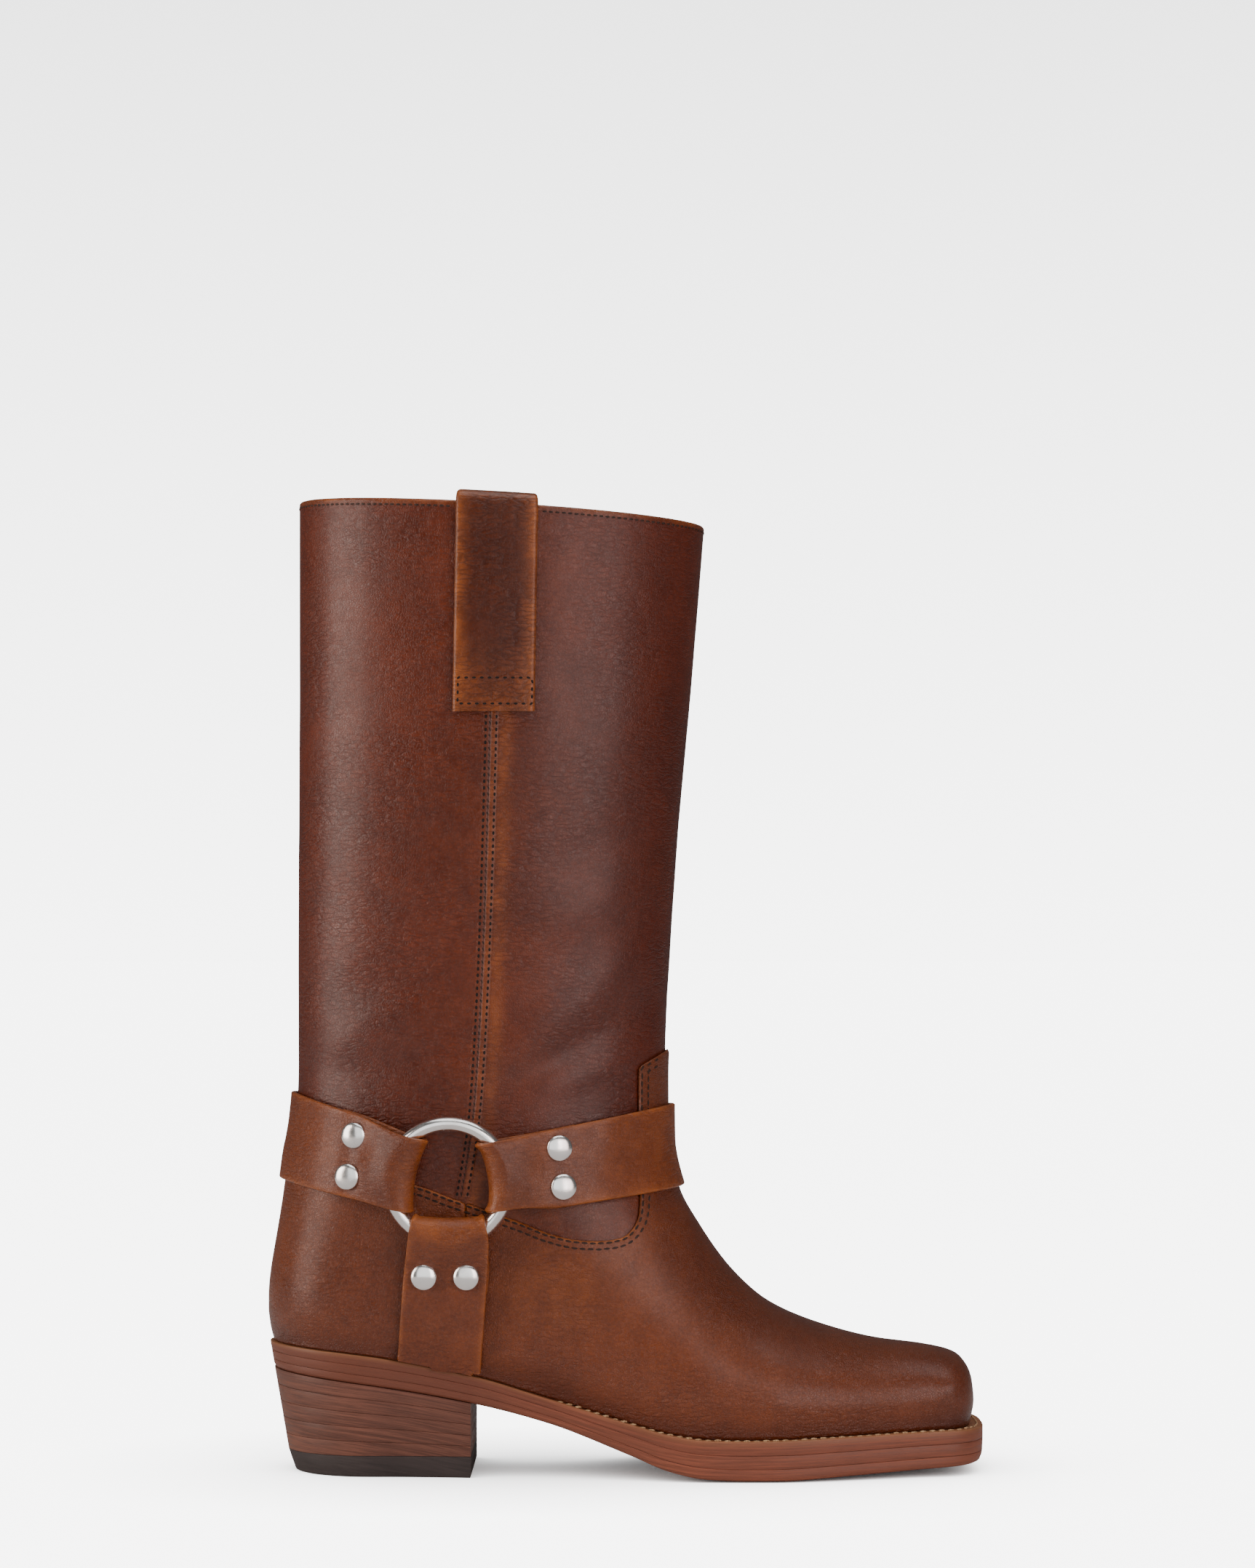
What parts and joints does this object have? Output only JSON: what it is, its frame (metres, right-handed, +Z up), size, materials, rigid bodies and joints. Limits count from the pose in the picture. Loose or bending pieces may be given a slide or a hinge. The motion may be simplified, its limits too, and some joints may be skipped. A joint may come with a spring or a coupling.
{
  "type": "harness boot",
  "caption": "Tall pull-on leather boot with a square toe, stacked heel, stitched sole layers and a harness of straps, rings and rivets round the ankle.",
  "frame": {"origin": "on the floor under the middle of the heel", "axes": "+X from heel to toe, +Y to the boot's inner side, +Z up"},
  "size_m": [0.2721, 0.099, 0.3683],
  "materials": {
    "upper_leather": "burnished brown leather, satin",
    "strap_leather": "burnished brown strap leather, satin",
    "sole_leather": "stained stacked sole leather",
    "heel_rubber": "matt dark rubber",
    "insole_leather": "natural leather",
    "nickel": "polished nickel plate"
  },
  "bodies": {
    "root": {"upper": "upper_leather", "vamp": "upper_leather", "counter": "upper_leather", "strap_back": "strap_leather", "strap_front": "strap_leather", "strap_side_lateral": "strap_leather", "strap_side_medial": "strap_leather", "pull_strap_lateral": "strap_leather", "pull_strap_medial": "strap_leather", "outsole": "sole_leather", "midsole": "sole_leather", "welt": "sole_leather", "heel_lift_1": "sole_leather", "heel_lift_2": "sole_leather", "heel_lift_3": "sole_leather", "heel_lift_4": "sole_leather", "heel_lift_5": "sole_leather", "heel_top_piece": "heel_rubber", "insole": "insole_leather", "ring_lateral": "nickel", "ring_medial": "nickel", "rivet_back_lateral_lower": "nickel", "rivet_back_lateral_upper": "nickel", "rivet_back_medial_lower": "nickel", "rivet_back_medial_upper": "nickel", "rivet_front_lateral_lower": "nickel", "rivet_front_lateral_upper": "nickel", "rivet_front_medial_lower": "nickel", "rivet_front_medial_upper": "nickel", "rivet_side_lateral_back": "nickel", "rivet_side_lateral_front": "nickel", "rivet_side_medial_back": "nickel", "rivet_side_medial_front": "nickel"}
  },
  "joints": []
}
